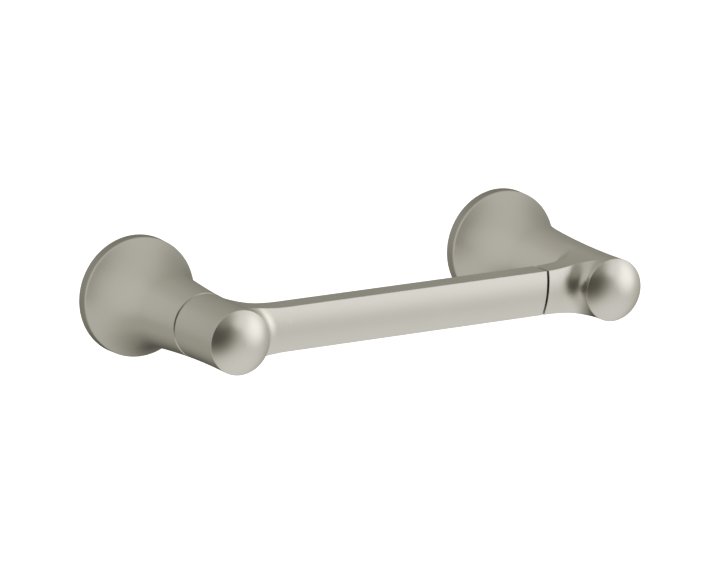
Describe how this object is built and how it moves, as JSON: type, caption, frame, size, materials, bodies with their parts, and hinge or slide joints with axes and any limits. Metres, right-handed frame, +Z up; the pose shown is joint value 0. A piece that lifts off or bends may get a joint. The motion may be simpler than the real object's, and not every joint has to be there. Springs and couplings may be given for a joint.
{
  "type": "toilet paper holder",
  "caption": "Wall-mounted two-post toilet paper holder in satin metal; the bar is one casting with a domed knuckle and lifts about the left post to take a roll.",
  "frame": {"origin": "on the wall plane, half way between the two posts' axes, at the centre of the four bracket screw holes", "axes": "+X along the bar from the pivoting end to the free end, -Y out from the wall into the room, +Z up"},
  "size_m": [0.2294, 0.0984, 0.0514],
  "materials": {
    "satin_casting": "satin nickel plate on a zinc die casting",
    "bracket_casting": "bare die casting",
    "steel_hardware": "zinc-plated steel",
    "nylon": "moulded nylon"
  },
  "bodies": {
    "posts": {"left_post": "satin_casting", "right_post": "satin_casting", "rest_pad": "nylon", "front_bushing": "nylon", "rear_bushing": "nylon", "thrust_washer": "steel_hardware", "left_wall_bracket": "bracket_casting", "right_wall_bracket": "bracket_casting", "set_screws": "steel_hardware"},
    "arm": {"swing_arm": "satin_casting", "pivot_bolt": "steel_hardware", "disc_spring": "steel_hardware"}
  },
  "joints": [
    {"name": "arm_lift", "type": "hinge", "parent": "posts", "child": "arm", "pos_m": [-0.089, -0.0624, 0], "axis": [0, -1, 0], "range_deg": [0, 100]}
  ]
}
